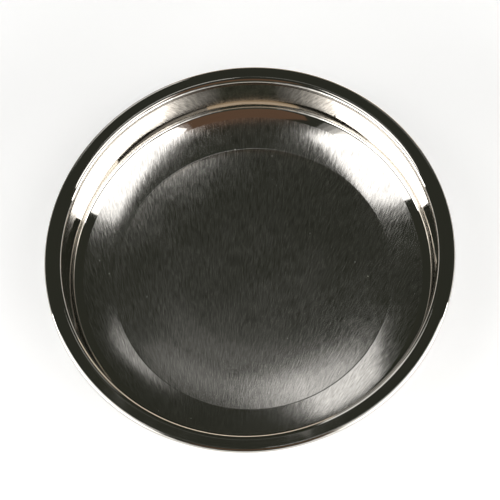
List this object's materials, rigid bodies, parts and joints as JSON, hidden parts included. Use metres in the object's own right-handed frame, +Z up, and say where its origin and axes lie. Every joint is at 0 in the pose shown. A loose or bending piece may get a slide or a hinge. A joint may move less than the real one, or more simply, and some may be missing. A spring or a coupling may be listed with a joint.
{
  "type": "steel pan",
  "caption": "Round, handleless steel pan with a flat rolled rim, a rounded lip, a near-upright wall, a floor that rises round a slightly domed centre panel, and a bonded heat-spreading base.",
  "frame": {"origin": "centre of the underside, where the pan stands", "axes": "+Z up along the pan's axis, out of its mouth; the pan is round, so +X and +Y are free"},
  "size_m": [0.39, 0.39, 0.074],
  "materials": {
    "pan_shell": "polished stainless steel, brushed on the floor",
    "rim_wire": "drawn wire",
    "base_core": "as rolled",
    "base_cap": "turned stainless steel"
  },
  "bodies": {
    "root": {"pan_shell": "pan_shell", "rim_wire": "rim_wire", "base_core": "base_core", "base_cap": "base_cap"}
  },
  "joints": []
}
